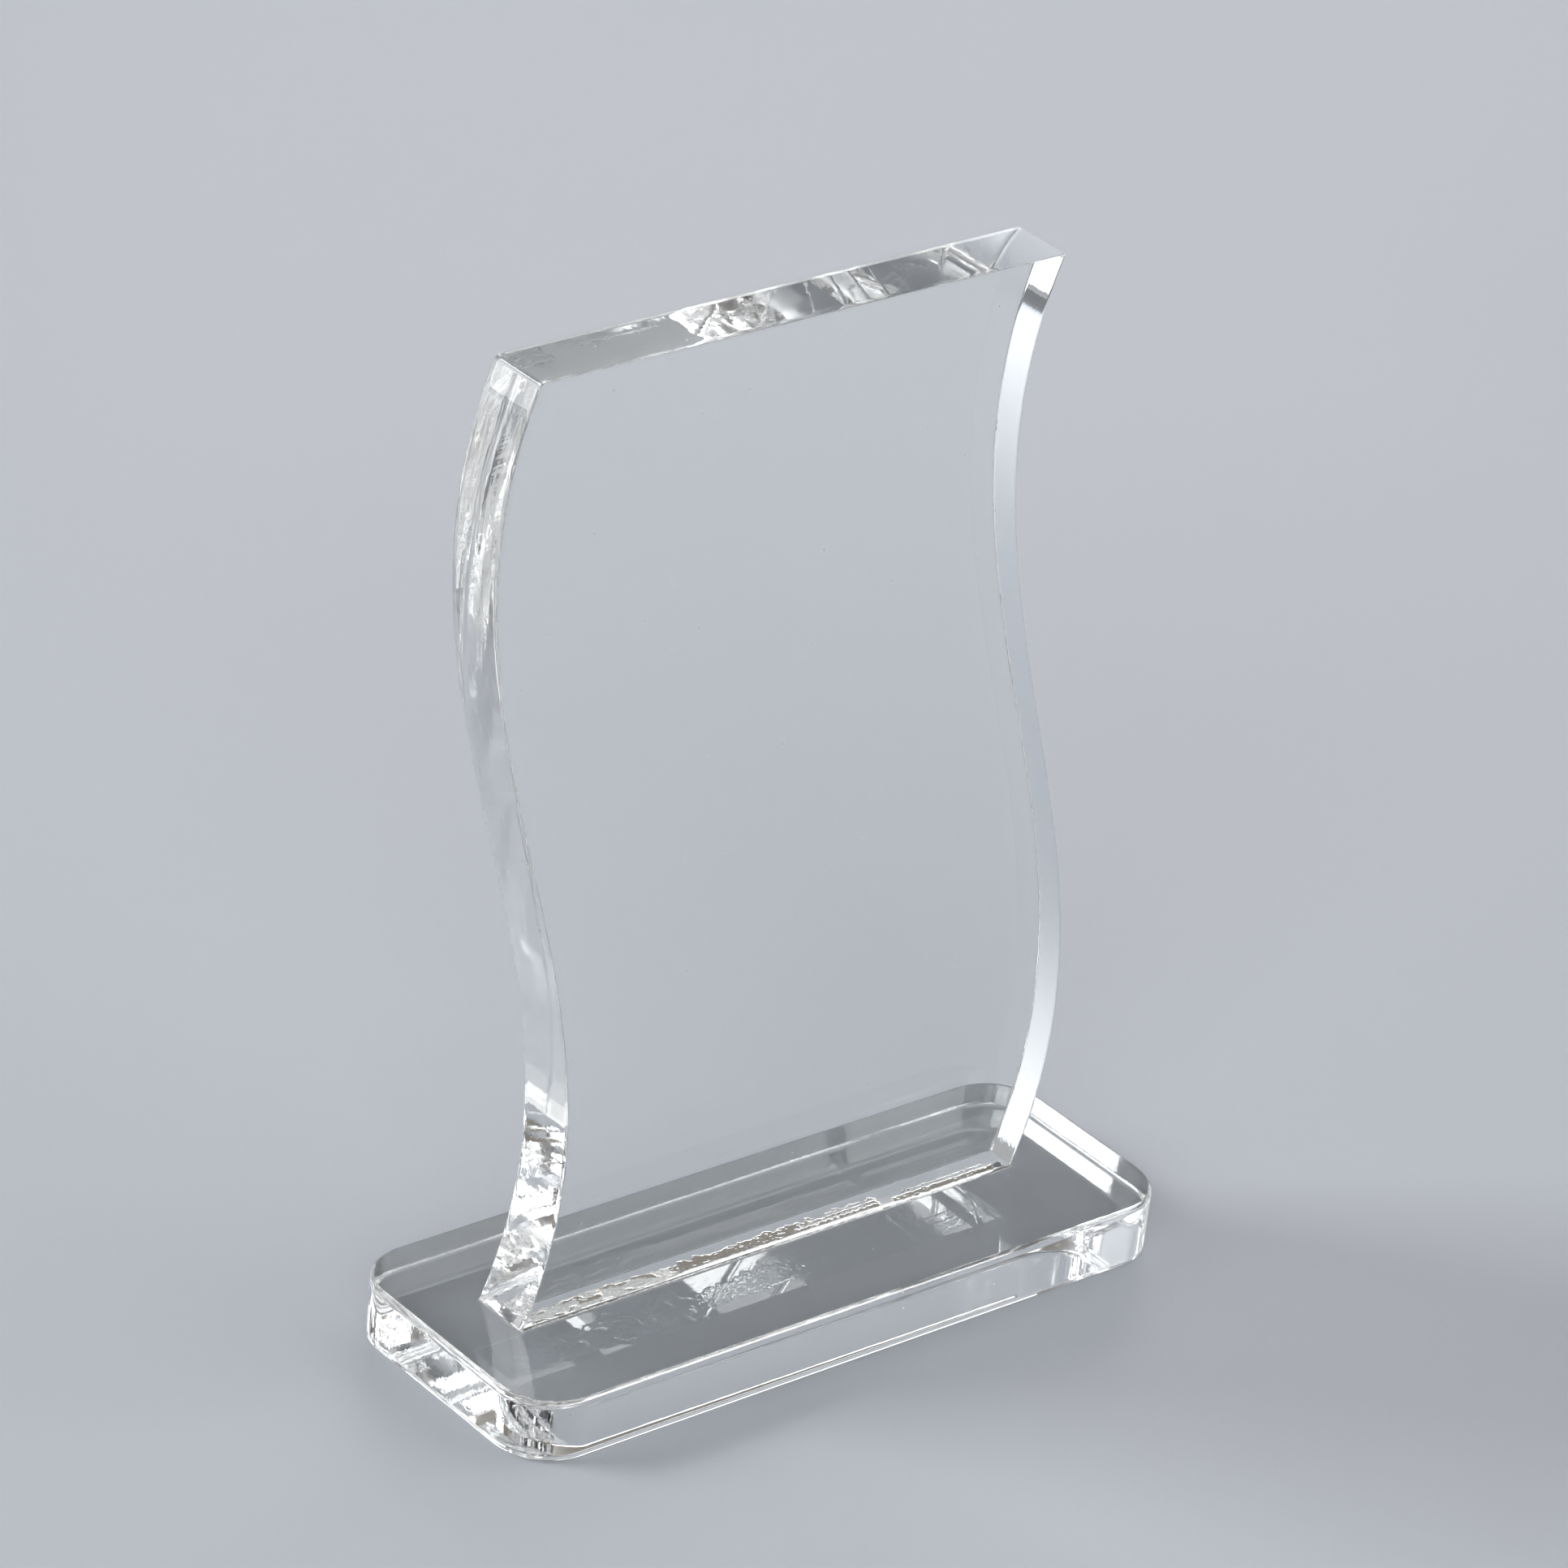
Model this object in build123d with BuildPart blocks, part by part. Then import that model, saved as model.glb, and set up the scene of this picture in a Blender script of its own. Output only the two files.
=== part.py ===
"""Clear acrylic award: a flat S-edged plate cemented upright on a rounded base slab.

Millimetres.  +Z is up, +X runs along the width of the award, +Y goes through its thickness
towards the back.  The origin is the centre of the base's underside.
"""

import os

from build123d import *

# Both pieces are cut from the same acrylic sheet.
SHEET = 10.0

# Base slab.
BASE_LENGTH = 118.0
BASE_DEPTH = 45.0
BASE_CORNER_RADIUS = 9.0
BASE_BEVEL = 0.5

# Upright plate.  Both side edges are the same wave, PLATE_WIDTH apart.
PLATE_WIDTH = 90.0
PLATE_HEIGHT = 150.0
FOOT_CENTRE_X = -3.0
FOOT_CENTRE_Y = 0.5
TOP_SHIFT = -12.5
LOWER_REACH = 20.5
UPPER_REACH = 19.5

# Cured cement between the two, with a small bead squeezed out round the foot of the plate.
CEMENT_THICKNESS = 0.2
CEMENT_BEAD = 0.4
CEMENT_BEAD_SLOPE = 0.15

CEMENT_Z = SHEET
PLATE_Z = CEMENT_Z + CEMENT_THICKNESS
FOOT_LEFT_X = FOOT_CENTRE_X - PLATE_WIDTH / 2


def wave(start_x):
    """One side edge of the plate, from its foot to its top, as a single cubic curve.

    The handles stand at thirds of the height.  The lower one pulls the edge towards +X and the
    upper one pulls it towards -X, which makes the S.
    """
    end_x = start_x + TOP_SHIFT
    return [
        (start_x, PLATE_Z),
        (start_x + LOWER_REACH, PLATE_Z + PLATE_HEIGHT / 3),
        (end_x - UPPER_REACH, PLATE_Z + PLATE_HEIGHT * 2 / 3),
        (end_x, PLATE_Z + PLATE_HEIGHT),
    ]


with BuildPart() as base:
    with BuildSketch(Plane.XY):
        RectangleRounded(BASE_LENGTH, BASE_DEPTH, BASE_CORNER_RADIUS)
    extrude(amount=SHEET)
    rims = base.faces().filter_by(Axis.Z).edges()
    chamfer(rims, BASE_BEVEL)

with BuildPart() as cement_film:
    with BuildSketch(Plane.XY.offset(CEMENT_Z)):
        with Locations((FOOT_CENTRE_X, FOOT_CENTRE_Y)):
            RectangleRounded(PLATE_WIDTH + 2 * CEMENT_BEAD, SHEET + 2 * CEMENT_BEAD, CEMENT_BEAD)
    extrude(amount=CEMENT_THICKNESS)
    chamfer(cement_film.faces().sort_by(Axis.Z)[-1].edges(), CEMENT_BEAD_SLOPE)

with BuildPart() as upright:
    with BuildSketch(Plane.XZ.offset(-FOOT_CENTRE_Y)):
        with BuildLine():
            left_edge = Bezier(*wave(FOOT_LEFT_X))
            right_edge = Bezier(*wave(FOOT_LEFT_X + PLATE_WIDTH))
            Line(left_edge @ 0, right_edge @ 0)
            Line(left_edge @ 1, right_edge @ 1)
        make_face()
    extrude(amount=SHEET / 2, both=True)

base.part.label = "base"
cement_film.part.label = "cement_film"
upright.part.label = "upright"

os.makedirs("parts", exist_ok=True)
export_step(base.part, "parts/base.step")
export_step(cement_film.part, "parts/cement_film.step")
export_step(upright.part, "parts/upright.step")
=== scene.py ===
import math

import bmesh
import bpy
from mathutils import Matrix, Vector, noise


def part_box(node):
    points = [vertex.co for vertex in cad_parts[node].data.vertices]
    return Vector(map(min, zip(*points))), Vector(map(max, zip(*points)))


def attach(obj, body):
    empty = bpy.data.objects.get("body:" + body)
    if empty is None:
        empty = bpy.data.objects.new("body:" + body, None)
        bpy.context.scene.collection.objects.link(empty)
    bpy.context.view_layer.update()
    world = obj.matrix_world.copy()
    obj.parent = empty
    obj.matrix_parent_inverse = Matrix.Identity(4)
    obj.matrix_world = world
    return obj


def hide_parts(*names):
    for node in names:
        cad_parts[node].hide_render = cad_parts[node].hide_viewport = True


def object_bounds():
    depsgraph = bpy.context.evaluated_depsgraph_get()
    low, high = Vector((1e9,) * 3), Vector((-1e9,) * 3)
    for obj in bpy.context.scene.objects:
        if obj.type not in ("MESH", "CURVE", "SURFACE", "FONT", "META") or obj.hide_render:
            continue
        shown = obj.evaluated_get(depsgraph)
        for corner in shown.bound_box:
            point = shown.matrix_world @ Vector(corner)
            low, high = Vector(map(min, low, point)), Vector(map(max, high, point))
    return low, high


# A clear acrylic award: an S-edged plate cemented upright on a rounded base slab.
# Sizes and places come from the frame.  Lengths below are in millimetres, and MM turns them
# into the frame's metres.
MM = 0.001

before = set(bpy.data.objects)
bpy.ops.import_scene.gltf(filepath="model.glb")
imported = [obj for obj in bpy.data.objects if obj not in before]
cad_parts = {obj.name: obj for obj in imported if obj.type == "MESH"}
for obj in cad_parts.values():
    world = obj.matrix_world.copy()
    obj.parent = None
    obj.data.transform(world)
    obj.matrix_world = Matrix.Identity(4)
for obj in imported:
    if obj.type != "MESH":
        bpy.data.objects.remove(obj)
cad_low, cad_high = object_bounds()

# The wave of the plate's side edges, one cubic curve each, as in the frame.
TOP_SHIFT = -12.5
LOWER_REACH = 20.5
UPPER_REACH = 19.5

# The plate's mesh: columns across, rows up, layers through its thickness.
PLATE_COLUMNS = 60
PLATE_ROWS = 320
PLATE_LAYERS = 12
PLATE_ARRIS = 0.15
PLATE_CORNER = 0.3
ARRIS_STEPS = 3
FOOT_TOLERANCE = 0.01

# The slab's mesh.
SLAB_CORNER = 9.0
SLAB_BEVEL = 0.5
SLAB_STEP = 0.5
SLAB_LAYERS = 10
CORNER_STEPS = 28
UNSPLIT_STEPS = 4
TOP_RING_SHARES = (0.15, 0.4, 0.7)

# The cement: its bead, and the air trapped in it.  The two skins of a pocket open and crinkle
# over short distances in from its outline, and the outline keeps clear of the grid's points.
BEAD = 0.4
BEAD_STEPS = 4
POCKET_CELL = 0.13
POCKET_OPENING = 0.1
POCKET_LIMIT = 0.09
OPENING_REACH = 0.45
CRINKLE_REACH = 0.3
OUTLINE_MARGIN = 0.08

ACRYLIC_IOR = 1.49
SHARP_ANGLE = math.radians(35)

# Material slots of the acrylic pieces, in order.
FACE, CUT, ARRIS, FUSED = range(4)


# ---------------------------------------------------------------- small helpers

def blend(low, high, value):
    """0 below low, 1 above high, and a smooth step between."""
    t = min(1.0, max(0.0, (value - low) / (high - low)))
    return t * t * (3 - 2 * t)


def wander(x, y, wavelength, seed):
    """Smooth noise from about -1 to 1, with features of the given wavelength."""
    return noise.noise(Vector((x / wavelength, y / wavelength, seed)))


def outward(points):
    """The outward normal at each point of a closed counter-clockwise loop."""
    normals = []
    count = len(points)
    for i, point in enumerate(points):
        before = (point - points[i - 1]).normalized()
        after = (points[(i + 1) % count] - point).normalized()
        along = (before + after).normalized()
        spread = max(0.5, along.dot(after))
        normals.append(Vector((along.y, -along.x)) / spread)
    return normals


def moved_out(points, distance):
    return [p + n * distance for p, n in zip(points, outward(points))]


def on_level(point, height):
    """A point of a flat loop in X and Y, raised to a height."""
    return Vector((point.x, point.y, height)) * MM


def upright_at(point, depth):
    """A point of an upright loop in X and Z, set at a depth in Y."""
    return Vector((point.x, depth, point.y)) * MM


def add_ring(mesh, points, place, level):
    return [mesh.verts.new(place(p, level)) for p in points]


def bridge(mesh, lower, upper, slot, smooth=True):
    """Quads between two rings of the same length."""
    count = len(lower)
    for i in range(count):
        k = (i + 1) % count
        face = mesh.faces.new((lower[i], lower[k], upper[k], upper[i]))
        face.material_index = slot
        face.smooth = smooth


def finish_piece(name, mesh, materials, node):
    """Makes the piece that stands for a CAD node and rides on the award's one body."""
    for edge in mesh.edges:
        flat = not all(face.smooth for face in edge.link_faces)
        edge.smooth = not flat and edge.calc_face_angle() < SHARP_ANGLE
    data = bpy.data.meshes.new(name)
    mesh.to_mesh(data)
    mesh.free()
    for material in materials:
        data.materials.append(material)
    piece = bpy.data.objects.new(name, data)
    bpy.context.scene.collection.objects.link(piece)
    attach(piece, "root")
    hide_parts(node)
    return piece


# ---------------------------------------------------------------- materials

def start_material(name):
    material = bpy.data.materials.new(name)
    material.use_nodes = True
    tree = material.node_tree
    tree.nodes.clear()
    return material, tree


def add_node(tree, kind, settings=None, **inputs):
    """A shader node, with its inputs given by name or by number as i0, i1 and so on."""
    made = tree.nodes.new(kind)
    for key, value in (settings or {}).items():
        setattr(made, key, value)
    for key, value in inputs.items():
        number = key[1:]
        socket = made.inputs[int(number)] if number.isdigit() else made.inputs[key.replace("_", " ")]
        if isinstance(value, bpy.types.NodeSocket):
            tree.links.new(value, socket)
        else:
            socket.default_value = value
    return made


def position(tree, scale):
    """Object coordinates, stretched by a scale for each axis, in features per millimetre."""
    coordinates = add_node(tree, "ShaderNodeTexCoord").outputs["Object"]
    stretch = tuple(s / MM for s in scale)
    return add_node(tree, "ShaderNodeVectorMath", {"operation": "MULTIPLY"},
                    i0=coordinates, i1=stretch).outputs[0]


def speckle(tree, scale, detail=2.0):
    """Noise from 0 to 1, with the given features per millimetre along each axis."""
    return add_node(tree, "ShaderNodeTexNoise", Vector=position(tree, scale),
                    Scale=1.0, Detail=detail).outputs["Fac"]


def remap(tree, value, low, high, to_low, to_high):
    return add_node(tree, "ShaderNodeMapRange", Value=value, From_Min=low, From_Max=high,
                    To_Min=to_low, To_Max=to_high).outputs["Result"]


def soft_step(tree, value, low, high):
    return add_node(tree, "ShaderNodeMapRange", {"interpolation_type": "SMOOTHSTEP"},
                    Value=value, From_Min=low, From_Max=high).outputs["Result"]


def mix_colours(tree, share, first, second):
    """The first colour where share is 0, and the second where it is 1."""
    mixed = add_node(tree, "ShaderNodeMix", {"data_type": "RGBA"}, i0=share, i6=first, i7=second)
    return mixed.outputs[2]


def combine(tree, operation, a, b):
    return add_node(tree, "ShaderNodeMath", {"operation": operation}, i0=a, i1=b).outputs[0]


def bump(tree, height, depth_mm, strength=1.0, normal=None):
    """A bump whose height input of 1 stands depth_mm proud."""
    made = add_node(tree, "ShaderNodeBump", Strength=strength, Distance=depth_mm * MM, Height=height)
    if normal is not None:
        tree.links.new(normal, made.inputs["Normal"])
    return made.outputs["Normal"]


def clear_shader(tree, roughness, normal=None, transmission=1.0):
    """Acrylic, with a tint that drifts very slightly from place to place."""
    drift = speckle(tree, (0.03, 0.03, 0.03), 2.0)
    tint = mix_colours(tree, drift, (0.965, 0.988, 0.990, 1.0), (0.985, 0.996, 0.994, 1.0))
    shader = add_node(tree, "ShaderNodeBsdfPrincipled", IOR=ACRYLIC_IOR, Roughness=roughness,
                      Transmission_Weight=transmission, Base_Color=tint)
    if normal is not None:
        tree.links.new(normal, shader.inputs["Normal"])
    output = add_node(tree, "ShaderNodeOutputMaterial")
    tree.links.new(shader.outputs["BSDF"], output.inputs["Surface"])


def dust(tree):
    """1 on a few fine specks of dust, and 0 elsewhere."""
    per_millimetre = 0.3
    radius = 0.035
    bare_share = 0.6
    cells = add_node(tree, "ShaderNodeTexVoronoi", Vector=position(tree, (per_millimetre,) * 3),
                     Scale=1.0)
    near = combine(tree, "LESS_THAN", cells.outputs["Distance"], radius)
    chosen = combine(tree, "GREATER_THAN", cells.outputs["Color"], bare_share)
    return combine(tree, "MULTIPLY", near, chosen)


def polished_face():
    """The sheet's own surface: clear and flat, with faint smears and a few specks of dust."""
    material, tree = start_material("acrylic_face")
    smears = remap(tree, speckle(tree, (0.05, 0.05, 0.11), 4.0), 0.55, 0.8, 0.0, 0.02)
    specks = dust(tree)
    speck_roughness = combine(tree, "MULTIPLY", specks, 0.5)
    speck_cover = combine(tree, "MULTIPLY", specks, 0.85)
    roughness = combine(tree, "ADD", smears, speck_roughness)
    transmission = combine(tree, "SUBTRACT", 1.0, speck_cover)
    clear_shader(tree, roughness, None, transmission)
    return material


def tool_lines(tree):
    """Noise drawn out into fine lines that slant across a side edge."""
    turned = add_node(tree, "ShaderNodeVectorRotate", {"rotation_type": "X_AXIS"},
                      Vector=add_node(tree, "ShaderNodeTexCoord").outputs["Object"],
                      Angle=math.radians(38)).outputs[0]
    stretched = add_node(tree, "ShaderNodeVectorMath", {"operation": "MULTIPLY"},
                         i0=turned, i1=(0.12 / MM, 0.06 / MM, 1.3 / MM)).outputs[0]
    return add_node(tree, "ShaderNodeTexNoise", Vector=stretched, Scale=1.0,
                    Detail=4.0).outputs["Fac"]


def cut_face():
    """A cut and polished edge: fine slanting tool lines over slow waves and upright streaks.

    Edges that face right are hazy along the lines, and those that face left are grainy low down.
    """
    line_depth, wave_depth, streak_depth, grain_depth = 0.003, 0.009, 0.004, 0.008
    right_haze, foot_haze = 0.22, 0.03
    clear_above, grainy_below = 60, 30
    material, tree = start_material("acrylic_cut")
    coordinates = add_node(tree, "ShaderNodeTexCoord")
    lines = tool_lines(tree)
    waves = speckle(tree, (0.28, 0.35, 0.07), 1.0)
    streaks = speckle(tree, (0.9, 1.0, 0.06), 1.0)
    grain = speckle(tree, (1.8, 1.8, 1.4), 2.0)
    facing = add_node(tree, "ShaderNodeSeparateXYZ",
                      Vector=coordinates.outputs["Normal"]).outputs["X"]
    height = add_node(tree, "ShaderNodeSeparateXYZ",
                      Vector=coordinates.outputs["Object"]).outputs["Z"]
    low_down = soft_step(tree, height, clear_above * MM, grainy_below * MM)
    foot = combine(tree, "MULTIPLY", low_down, soft_step(tree, facing, -0.3, -0.7))
    normal = bump(tree, lines, line_depth)
    normal = bump(tree, waves, wave_depth, normal=normal)
    normal = bump(tree, streaks, streak_depth, normal=normal)
    normal = bump(tree, combine(tree, "MULTIPLY", grain, foot), grain_depth, normal=normal)
    right = combine(tree, "MULTIPLY", soft_step(tree, facing, 0.3, 0.7), right_haze)
    haze = combine(tree, "MULTIPLY", remap(tree, lines, 0.42, 0.66, 0.1, 1.0), right)
    haze = combine(tree, "ADD", haze, combine(tree, "MULTIPLY", foot, foot_haze))
    clear_shader(tree, haze, normal)
    return material


def arris_face():
    """A scraped edge: satin, with small nicks."""
    material, tree = start_material("acrylic_arris")
    nicks = speckle(tree, (1.6, 1.6, 1.6), 4.0)
    normal = bump(tree, nicks, 0.012)
    roughness = remap(tree, nicks, 0.35, 0.65, 0.05, 0.2)
    clear_shader(tree, roughness, normal)
    return material


def fused_face():
    """Where two pieces are bonded without a gap, light goes straight on."""
    material, tree = start_material("fused")
    shader = add_node(tree, "ShaderNodeBsdfTransparent")
    output = add_node(tree, "ShaderNodeOutputMaterial")
    tree.links.new(shader.outputs["BSDF"], output.inputs["Surface"])
    return material


def cement_face():
    """Cured cement where it meets air: slightly uneven."""
    material, tree = start_material("cement_surface")
    lumps = speckle(tree, (1.5, 1.5, 1.5), 3.0)
    clear_shader(tree, remap(tree, lumps, 0.3, 0.7, 0.01, 0.08), bump(tree, lumps, 0.02))
    return material


def pocket_face():
    """The walls of the trapped air: smooth to the right, crazed and hazy to the left."""
    material, tree = start_material("cement_pocket")
    crazed = add_node(tree, "ShaderNodeAttribute", {"attribute_name": "crazing"}).outputs["Fac"]
    grain = speckle(tree, (3.0, 3.0, 3.0), 3.0)
    haze = combine(tree, "MULTIPLY", crazed, remap(tree, grain, 0.3, 0.7, 0.1, 0.45))
    milky = combine(tree, "MULTIPLY", crazed, remap(tree, grain, 0.35, 0.6, 0.2, 0.95))
    normal = bump(tree, combine(tree, "MULTIPLY", grain, crazed), 0.14)
    clear_shader(tree, haze, normal, combine(tree, "SUBTRACT", 1.0, milky))
    return material


def floor_surface():
    """Matt pale card with a faint grain."""
    material, tree = start_material("floor_pale")
    grain = speckle(tree, (2.0, 2.0, 2.0), 3.0)
    cloud = speckle(tree, (0.004, 0.004, 0.004), 2.0)
    colour = mix_colours(tree, cloud, (0.53, 0.563, 0.62, 1.0), (0.56, 0.593, 0.645, 1.0))
    shader = add_node(tree, "ShaderNodeBsdfPrincipled", Roughness=0.4, Specular_IOR_Level=0.5,
                      Base_Color=colour, Normal=bump(tree, grain, 0.02))
    output = add_node(tree, "ShaderNodeOutputMaterial")
    tree.links.new(shader.outputs["BSDF"], output.inputs["Surface"])
    return material


# ---------------------------------------------------------------- the plate

def rounded_edge(radius, level, turning_in):
    """Profile steps, as (inset, level), of a quarter-round edge that starts at a face.

    turning_in is the sign of the way from the face towards the middle of the plate.
    """
    steps = []
    for step in range(ARRIS_STEPS + 1):
        angle = step / ARRIS_STEPS * math.pi / 2
        inset = radius * (1 - math.sin(angle))
        steps.append((inset, level + turning_in * radius * (1 - math.cos(angle))))
    return steps


def side_x(foot_x, share):
    """X of a side edge of the plate, a share of the way up."""
    s = 1 - share
    points = (foot_x, foot_x + LOWER_REACH, foot_x + TOP_SHIFT - UPPER_REACH, foot_x + TOP_SHIFT)
    weights = (s ** 3, 3 * s * s * share, 3 * s * share * share, share ** 3)
    return sum(w * p for w, p in zip(weights, points))


def plate_grid(foot_left, width, foot_z, height):
    """The plate's flat grid of points in X and Z, by column and row.

    The first and last steps are small, so that the upper corners can be taken off.
    """
    def spaced(count, length):
        inner = [PLATE_CORNER + (length - 2 * PLATE_CORNER) * i / count for i in range(count + 1)]
        return [0.0] + inner + [length]

    across = spaced(PLATE_COLUMNS, width)
    up = spaced(PLATE_ROWS, height)
    return [[Vector((side_x(foot_left, z / height) + x, foot_z + z)) for z in up] for x in across]


def grid_edge(columns, rows):
    """Grid indices round the edge, counter-clockwise, without the two upper corners."""
    last_column, last_row = columns - 1, rows - 1
    around = [(i, 0) for i in range(columns)]
    around += [(last_column, k) for k in range(1, last_row)]
    around += [(i, last_row) for i in range(last_column - 1, 0, -1)]
    around += [(0, k) for k in range(last_row - 1, 0, -1)]
    return around


def fill_plate_face(mesh, grid, around, ring, level, front):
    """Quads over one broad face, from the ring at its edge inwards."""
    verts = dict(zip(around, ring))
    columns, rows = len(grid), len(grid[0])
    for i in range(1, columns - 1):
        for k in range(1, rows - 1):
            verts[i, k] = mesh.verts.new(upright_at(grid[i][k], level))
    for i in range(columns - 1):
        for k in range(rows - 1):
            cell = [(i, k), (i + 1, k), (i + 1, k + 1), (i, k + 1)]
            corners = [verts[key] for key in cell if key in verts]
            if len(corners) < 3:
                continue
            face = mesh.faces.new(corners if front else reversed(corners))
            face.material_index = FACE
            face.smooth = False


def cut_wave(point, level):
    """How far a cut edge stands out, in millimetres: always inwards of true, so below 0."""
    slow = wander(point.x + point.y, level * 0.5, 21.0, 2.0)
    quick = wander(point.x + point.y, level * 0.4, 4.5, 7.0)
    return -0.012 * (1 + slow) - 0.0025 * (1 + quick)


def nick(point, level):
    """Extra inset where the plate's sharp edge is chipped, in millimetres."""
    return 0.35 * max(0.0, wander(point.x + point.y, level, 1.1, 41.0) - 0.42)


def build_plate(materials):
    low, high = (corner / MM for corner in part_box("upright"))
    film_low, film_high = (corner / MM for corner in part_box("cement_film"))
    foot_left = film_low.x + BEAD
    width = film_high.x - film_low.x - 2 * BEAD
    depth = high.y - low.y
    grid = plate_grid(foot_left, width, low.z, high.z - low.z)
    around = grid_edge(len(grid), len(grid[0]))
    loop = [grid[i][k] for i, k in around]
    normals = outward(loop)
    flats = [(0.0, high.y - PLATE_ARRIS - (depth - 2 * PLATE_ARRIS) * k / PLATE_LAYERS)
             for k in range(1, PLATE_LAYERS)]
    profile = rounded_edge(PLATE_ARRIS, high.y, -1) + flats
    profile += reversed(rounded_edge(PLATE_ARRIS, low.y, 1))
    mesh = bmesh.new()
    rings = []
    for inset, level in profile:
        points = []
        for point, normal in zip(loop, normals):
            out = cut_wave(point, level) - inset
            if inset > 0:
                out -= nick(point, level)
            moved = point + normal * out
            on_foot = point.y == low.z
            if on_foot:
                moved.y = low.z
            points.append(moved)
        rings.append(add_ring(mesh, points, upright_at, level))
    strips = len(rings) - 1
    for step, (outer, inner) in enumerate(zip(rings, rings[1:])):
        on_cut = ARRIS_STEPS <= step < strips - ARRIS_STEPS
        bridge(mesh, outer, inner, CUT if on_cut else ARRIS)
    fill_plate_face(mesh, grid, around, rings[0], high.y, False)
    fill_plate_face(mesh, grid, around, rings[-1], low.y, True)
    mesh.normal_update()
    foot_level = (low.z + FOOT_TOLERANCE) * MM
    for face in mesh.faces:
        if all(v.co.z < foot_level for v in face.verts):
            face.material_index = FUSED
            face.smooth = False
    return finish_piece("upright_plate", mesh, materials, "upright")


# ---------------------------------------------------------------- the slab

def rounded_loop(low, high, radius, long_steps, short_steps):
    """A rounded rectangle in X and Y, counter-clockwise, with the same count whatever its size."""
    centres = [
        Vector((high.x - radius, low.y + radius)),
        Vector((high.x - radius, high.y - radius)),
        Vector((low.x + radius, high.y - radius)),
        Vector((low.x + radius, low.y + radius)),
    ]
    points = []
    for i, centre in enumerate(centres):
        start = math.radians(-90 + 90 * i)
        for k in range(CORNER_STEPS):
            angle = start + math.pi / 2 * k / CORNER_STEPS
            points.append(centre + radius * Vector((math.cos(angle), math.sin(angle))))
        angle = start + math.pi / 2
        leaving = centre + radius * Vector((math.cos(angle), math.sin(angle)))
        arriving = centres[(i + 1) % 4] + radius * Vector((math.cos(angle), math.sin(angle)))
        steps = short_steps if i % 2 == 0 else long_steps
        points += [leaving.lerp(arriving, k / steps) for k in range(steps)]
    return points


def fill_rounded(mesh, ring, long_steps, short_steps, slot, facing_up):
    """Closes a rounded loop with strips across its width, and one wider face at each end."""
    right = 2 * CORNER_STEPS + short_steps
    left = right + long_steps
    front = left + 2 * CORNER_STEPS + short_steps
    closed = ring + ring[:1]
    faces = []
    for k in range(long_steps):
        faces.append([closed[right + k], closed[right + k + 1], closed[-2 - k], closed[-1 - k]])
    kept = CORNER_STEPS - UNSPLIT_STEPS
    for end in (closed[:right + 1], closed[left:front + 1]):
        for k in range(kept):
            faces.append([end[k], end[k + 1], end[-2 - k], end[-1 - k]])
        faces.append(end[kept:len(end) - kept])
    for corners in faces:
        face = mesh.faces.new(corners)
        face.normal_update()
        if (face.normal.z > 0) != facing_up:
            face.normal_flip()
        face.material_index = slot
        face.smooth = False


def slab_steps(low, high):
    """How many steps the straight stretches of the slab's edge take, along X and along Y."""
    long_steps = round((high.x - low.x - 2 * SLAB_CORNER) / SLAB_STEP)
    short_steps = round((high.y - low.y - 2 * SLAB_CORNER) / SLAB_STEP)
    return long_steps, short_steps


def slab_wave(point, level, on_wall):
    """How far the slab's edge stands out, in millimetres: always inwards of true, so below 0."""
    wave = -0.006 * (1 + wander(point.x + point.y, level, 14.0, 5.0))
    if on_wall:
        wave -= 0.003 * (1 + wander(point.x - point.y, level, 3.5, 9.0))
    return wave


def rim_dip(point):
    """How far a small nick lets the upper rim down, in millimetres."""
    return 0.025 * max(0.0, wander(point.x, point.y, 0.9, 13.0))


def slab_profile(bottom, top):
    """Steps up the slab's edge, as (inset, level, slot of the strip above it)."""
    wall = top - bottom - 2 * SLAB_BEVEL
    steps = [(SLAB_BEVEL, bottom, ARRIS)]
    steps += [(0.0, bottom + SLAB_BEVEL + wall * k / SLAB_LAYERS, CUT) for k in range(SLAB_LAYERS)]
    steps += [(0.0, top - SLAB_BEVEL, ARRIS), (SLAB_BEVEL, top, FACE)]
    return steps


def build_slab(materials, cement_edge):
    low, high = (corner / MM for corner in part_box("base"))
    long_steps, short_steps = slab_steps(low, high)
    outer = rounded_loop(low, high, SLAB_CORNER, long_steps, short_steps)
    normals = outward(outer)
    mesh = bmesh.new()
    profile = slab_profile(low.z, high.z)
    rings = []
    for number, (inset, level, slot) in enumerate(profile):
        on_wall = 0 < number < len(profile) - 1
        points = [point + normal * (slab_wave(point, level, on_wall) - inset)
                  for point, normal in zip(outer, normals)]
        ring = add_ring(mesh, points, on_level, level)
        if on_wall and slot == ARRIS:
            for vert, point in zip(ring, points):
                vert.co.z -= rim_dip(point) * MM
        rings.append(ring)
    for (inset, level, slot), lower, upper in zip(profile, rings, rings[1:]):
        bridge(mesh, lower, upper, slot)
    rim = moved_out(outer, -SLAB_BEVEL)
    top = rings[-1:]
    for share in TOP_RING_SHARES:
        points = [p.lerp(q, share) for p, q in zip(rim, cement_edge)]
        top.append(add_ring(mesh, points, on_level, high.z))
    top.append(add_ring(mesh, cement_edge, on_level, high.z))
    for outside, inside in zip(top, top[1:]):
        bridge(mesh, outside, inside, FACE, smooth=False)
    fill_rounded(mesh, top[-1], long_steps, short_steps, FUSED, True)
    fill_rounded(mesh, rings[0], long_steps, short_steps, FACE, False)
    return finish_piece("base_slab", mesh, materials, "base")


# ---------------------------------------------------------------- the cement joint

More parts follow.
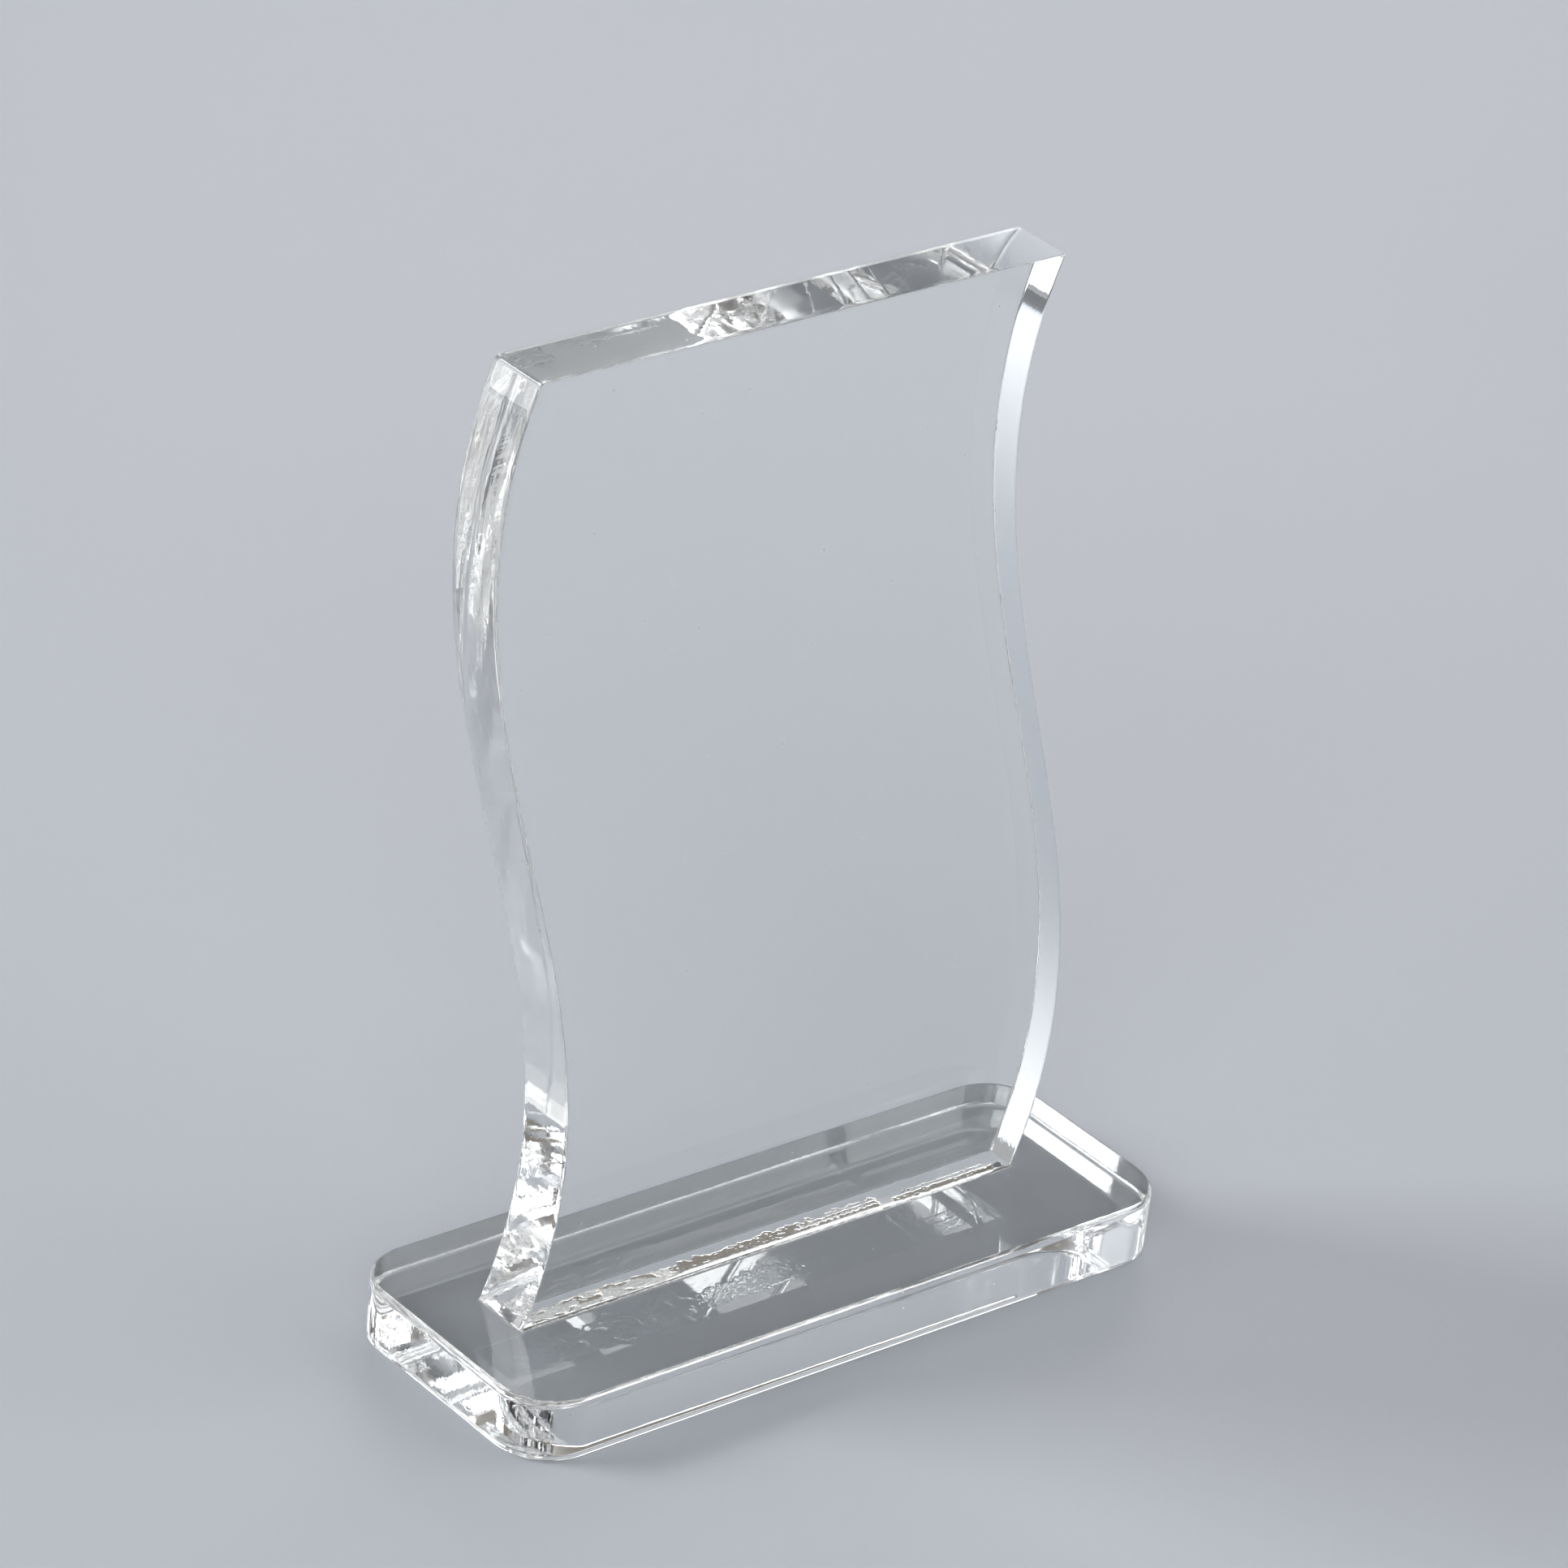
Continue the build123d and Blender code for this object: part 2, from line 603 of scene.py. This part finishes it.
def foot_box():
    """The plate's footprint, from the film's box less its bead."""
    low, high = (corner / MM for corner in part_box("cement_film"))
    return Vector((low.x + BEAD, low.y + BEAD)), Vector((high.x - BEAD, high.y - BEAD))


def bead_loop(long_steps, short_steps):
    """The uneven edge of the squeezed-out cement on the slab."""
    low, high = foot_box()
    loop = rounded_loop(low, high, PLATE_ARRIS, long_steps, short_steps)
    points = []
    for point, normal in zip(loop, outward(loop)):
        lumps = 0.5 + 0.5 * wander(point.x, point.y, 2.2, 4.0)
        at_end = blend(0.3, 0.9, abs(normal.x))
        width = 0.22 + 0.3 * lumps + at_end * (0.25 + 0.5 * lumps)
        points.append(point + normal * BEAD * min(1.0, width))
    return points


def slot_band(x, y, start, end, low, high):
    """How far inside a rectangle a point is, in millimetres, and negative outside it.

    start and end are the rectangle's limits along x, and low and high along y.
    """
    return min(x - start, end - x, y - low, high - y)


def air_depth(x, y):
    """How far inside trapped air a point of the joint is, in millimetres.

    x and y are from the middle of the foot.  The cement ran in from the edges and left a long
    ragged pocket down the middle, with a groove and a seam of cement in it, then a straight one
    at the front to the right, and a thin one beside it.
    """
    left_part = 1 - blend(-19.0, -15.0, x)
    hump = math.exp(-((x + 28.5) / 5.5) ** 2)
    fingers = (1 - 0.6 * left_part) * (2.4 * wander(x, 0, 2.6, 3.1) + 1.4 * wander(x, 0, 1.0, 8.4))
    top = min(2.6, max(0.2, 1.7 + 1.2 * hump + fingers))
    bottom = -3.0 - 0.8 * left_part + 0.3 * wander(x, 0, 2.0, 5.5)
    main = slot_band(x, y, -42.5, 21.5, bottom, top)
    groove = slot_band(x, y, 9.0, 21.0, 0.45, 0.95)
    seam = slot_band(x, y, 6.5, 20.5, -1.25, -0.95) + 0.25 * math.sin(x * 5.2)
    front = slot_band(x, y, 23.5, 44.2, -3.8, -1.2)
    thin = slot_band(x, y, 26.0, 41.5, -0.45, 0.4)
    depth = max(min(main, -groove, -seam), front, thin)
    rough = 0.35 + 0.5 * math.exp(-((x - 27.5) / 2.5) ** 2)
    islands = blend(0.3, 0.5, wander(x, y, 1.1, 21.0)) * (0.2 + 0.8 * blend(-1.5, 0.5, y))
    depth = min(depth, 0.5 - 1.2 * islands)
    return depth + rough * wander(x, y, 0.7, 1.7) + 0.2 * wander(x, y, 0.3, 6.2)


def crazing(x, y):
    """How crazed the pocket's walls are: mostly at the left, and not at all past the middle."""
    return (1 - blend(-22.0, -14.0, x)) * blend(-0.25, 0.0, wander(x, y, 2.4, 31.0))


class PocketSheets:
    """The two skins of the trapped air, which meet along its outline."""

    def __init__(self, mesh, film_low, film_high):
        self.mesh = mesh
        self.verts = {}
        low, high = foot_box()
        self.centre = (low + high) / 2
        half = (high - low) / 2 - Vector((BEAD, BEAD))
        self.columns = round(2 * half.x / POCKET_CELL)
        self.rows = round(2 * half.y / POCKET_CELL)
        self.xs = [half.x * (2 * i / self.columns - 1) for i in range(self.columns + 1)]
        self.ys = [half.y * (2 * j / self.rows - 1) for j in range(self.rows + 1)]
        self.level = (film_low.z + film_high.z) / 2
        self.depth = [[self.depth_at(i, j) for j in range(self.rows + 1)]
                      for i in range(self.columns + 1)]

    def depth_at(self, i, j):
        """The air's depth at a grid point, with the grid's border kept solid."""
        if i in (0, self.columns) or j in (0, self.rows):
            return -1.0
        return air_depth(self.xs[i], self.ys[j])

    def place(self, x, y, z):
        return Vector((self.centre.x + x, self.centre.y + y, z)) * MM

    def inner_point(self, i, j, side):
        """A point of the upper skin (side 1) or the lower one (side -1), over a grid point."""
        key = (i, j, side)
        if key not in self.verts:
            x, y, depth = self.xs[i], self.ys[j], self.depth[i][j]
            opening = side * POCKET_OPENING / 2 * math.sqrt(min(1.0, depth / OPENING_REACH))
            crinkle = (0.002 + 0.05 * crazing(x, y)) * min(1.0, depth / CRINKLE_REACH)
            folds = wander(x, y, 0.8, 11.0) + 0.5 * wander(x, y, 0.35, 17.0)
            offset = opening + crinkle * folds
            z = self.level + min(POCKET_LIMIT, max(-POCKET_LIMIT, offset))
            self.verts[key] = self.mesh.verts.new(self.place(x, y, z))
        return self.verts[key]

    def outline_point(self, a, b):
        """The point of the outline between a grid point inside it and one outside."""
        key = (min(a, b), max(a, b))
        if key not in self.verts:
            inside, outside = self.depth[a[0]][a[1]], self.depth[b[0]][b[1]]
            share = inside / (inside - outside)
            share = min(1 - OUTLINE_MARGIN, max(OUTLINE_MARGIN, share))
            x = self.xs[a[0]] + (self.xs[b[0]] - self.xs[a[0]]) * share
            y = self.ys[a[1]] + (self.ys[b[1]] - self.ys[a[1]]) * share
            self.verts[key] = self.mesh.verts.new(self.place(x, y, self.level))
        return self.verts[key]

    def fill_cell(self, cell, side, slot):
        """The part of one skin that lies in a grid cell."""
        inside = [self.depth[i][j] > 0 for i, j in cell]
        around = []
        for k in range(4):
            here, there = cell[k], cell[(k + 1) % 4]
            if inside[k]:
                around.append(self.inner_point(*here, side))
            if inside[k] != inside[(k + 1) % 4]:
                around.append(self.outline_point(here, there) if inside[k]
                              else self.outline_point(there, here))
        if len(around) < 3:
            return
        if side > 0:
            around.reverse()
        face = self.mesh.faces.new(around)
        face.material_index = slot
        face.smooth = True

    def build(self, slot):
        for i in range(self.columns):
            for j in range(self.rows):
                cell = [(i, j), (i + 1, j), (i + 1, j + 1), (i, j + 1)]
                self.fill_cell(cell, 1, slot)
                self.fill_cell(cell, -1, slot)


def build_cement(materials, edge, long_steps, short_steps):
    surface, fused, pocket = range(3)
    film_low, film_high = (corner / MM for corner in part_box("cement_film"))
    low, high = foot_box()
    crest = rounded_loop(low, high, PLATE_ARRIS, long_steps, short_steps)
    height = film_high.z - film_low.z
    mesh = bmesh.new()
    rings = [add_ring(mesh, edge, on_level, film_low.z)]
    for k in range(1, BEAD_STEPS + 1):
        share = k / BEAD_STEPS
        level = film_low.z + height * (1 - math.cos(share * math.pi / 2))
        points = [p.lerp(q, share) for p, q in zip(edge, crest)]
        rings.append(add_ring(mesh, points, on_level, level))
    for lower, upper in zip(rings, rings[1:]):
        bridge(mesh, lower, upper, surface)
    fill_rounded(mesh, rings[0], long_steps, short_steps, fused, False)
    fill_rounded(mesh, rings[-1], long_steps, short_steps, fused, True)
    PocketSheets(mesh, film_low, film_high).build(pocket)
    crazed = mesh.verts.layers.float.new("crazing")
    centre = (low + high) / 2
    for vert in mesh.verts:
        vert[crazed] = crazing(vert.co.x / MM - centre.x, vert.co.y / MM - centre.y)
    return finish_piece("cement_joint", mesh, materials, "cement_film")


def build_award():
    slab_low, slab_high = (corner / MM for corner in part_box("base"))
    long_steps, short_steps = slab_steps(slab_low, slab_high)
    edge = bead_loop(long_steps, short_steps)
    acrylic = [polished_face(), cut_face(), arris_face(), fused_face()]
    build_plate(acrylic)
    build_slab(acrylic, edge)
    build_cement([cement_face(), acrylic[FUSED], pocket_face()], edge, long_steps, short_steps)


# ---------------------------------------------------------------- the studio

# The floor's side and the lights' distance are in metres, and the gap is in millimetres.
FLOOR_SIZE = 5.0
FLOOR_GAP = 0.02
LIGHT_DISTANCE = 1.5


def build_floor():
    mesh = bmesh.new()
    bmesh.ops.create_grid(mesh, x_segments=8, y_segments=8, size=FLOOR_SIZE / 2)
    data = bpy.data.meshes.new("floor")
    mesh.to_mesh(data)
    mesh.free()
    data.materials.append(floor_surface())
    floor = bpy.data.objects.new("floor", data)
    floor.location.z = cad_low.z - FLOOR_GAP * MM
    bpy.context.scene.collection.objects.link(floor)


def direction(azimuth, elevation):
    """A unit vector.  Azimuth 0 is straight behind the award, and 90 is to its right."""
    a, e = math.radians(azimuth), math.radians(elevation)
    return Vector((math.sin(a) * math.cos(e), math.cos(a) * math.cos(e), math.sin(e)))


def soft_box(name, azimuth, elevation, width, height, power):
    """A rectangular soft light that points at the middle of the award."""
    light = bpy.data.lights.new(name, "AREA")
    light.shape = "RECTANGLE"
    light.size = width
    light.size_y = height
    light.energy = power
    lamp = bpy.data.objects.new(name, light)
    away = direction(azimuth, elevation)
    lamp.location = (cad_low + cad_high) / 2 + away * LIGHT_DISTANCE
    lamp.rotation_mode = "QUATERNION"
    lamp.rotation_quaternion = away.to_track_quat("Z", "Y")
    bpy.context.scene.collection.objects.link(lamp)


def build_lights():
    soft_box("low_box_back_left", -51, 16, 0.6, 0.79, 5.2)
    soft_box("high_box_back_left", -50, 34.5, 0.55, 0.34, 8.6)
    soft_box("low_box_back_right", 42, 16, 0.75, 0.45, 2.1)
    soft_box("wide_box_front_left", -135, 25, 1.25, 0.86, 8.6)
    soft_box("high_box_right", 92, 54, 1.1, 0.9, 4.7)
    soft_box("low_box_front_right", 130, 25, 1.2, 0.9, 4.4)


def build_world():
    """A soft grey room: dim overhead, and dimmer and warmer behind to the right."""
    world = bpy.data.worlds.new("studio")
    world.use_nodes = True
    tree = world.node_tree
    tree.nodes.clear()
    way = add_node(tree, "ShaderNodeTexCoord").outputs["Generated"]
    height = add_node(tree, "ShaderNodeSeparateXYZ", Vector=way).outputs["Z"]
    overhead = soft_step(tree, height, 0.45, 0.9)
    towards_warm = add_node(tree, "ShaderNodeVectorMath", {"operation": "DOT_PRODUCT"},
                            i0=way, i1=direction(55, 30)).outputs["Value"]
    pale, warm, dim = (0.41, 0.41, 0.42, 1.0), (0.17, 0.145, 0.115, 1.0), (0.075, 0.075, 0.08, 1.0)
    sides = mix_colours(tree, soft_step(tree, towards_warm, 0.5, 0.95), pale, warm)
    colour = mix_colours(tree, overhead, sides, dim)
    background = add_node(tree, "ShaderNodeBackground", Color=colour)
    output = add_node(tree, "ShaderNodeOutputWorld")
    tree.links.new(background.outputs["Background"], output.inputs["Surface"])
    bpy.context.scene.world = world


# Angles are in degrees.  The distance, the lens and the aim are in millimetres, and the aim is
# from the middle of the award.
CAMERA_AZIMUTH = 221.774
CAMERA_ELEVATION = 28.258
CAMERA_ROLL = 6.557
CAMERA_DISTANCE = 1060.33
CAMERA_LENS = 175.39
CAMERA_AIM = Vector((-3.89, 0.0, 4.61))


def build_camera():
    """The camera stands in front of the award, to its left and above it."""
    away = direction(CAMERA_AZIMUTH, CAMERA_ELEVATION)
    aim = (cad_low + cad_high) / 2 + CAMERA_AIM * MM
    data = bpy.data.cameras.new("camera")
    data.lens = CAMERA_LENS
    data.sensor_width = 36.0
    camera = bpy.data.objects.new("camera", data)
    roll = Matrix.Rotation(math.radians(CAMERA_ROLL), 3, "Z")
    turn = away.to_track_quat("Z", "Y").to_matrix() @ roll
    camera.matrix_world = Matrix.Translation(aim + away * CAMERA_DISTANCE * MM) @ turn.to_4x4()
    bpy.context.scene.collection.objects.link(camera)
    bpy.context.scene.camera = camera


LIGHT_BOUNCES = 32


def set_light_paths():
    """Many bounces, since light runs to and fro in the acrylic, and plain tones."""
    cycles = bpy.context.scene.cycles
    cycles.max_bounces = LIGHT_BOUNCES
    cycles.glossy_bounces = LIGHT_BOUNCES
    cycles.transmission_bounces = LIGHT_BOUNCES
    cycles.transparent_max_bounces = LIGHT_BOUNCES
    bpy.context.scene.view_settings.view_transform = "Standard"


build_award()
build_floor()
build_lights()
build_world()
build_camera()
set_light_paths()
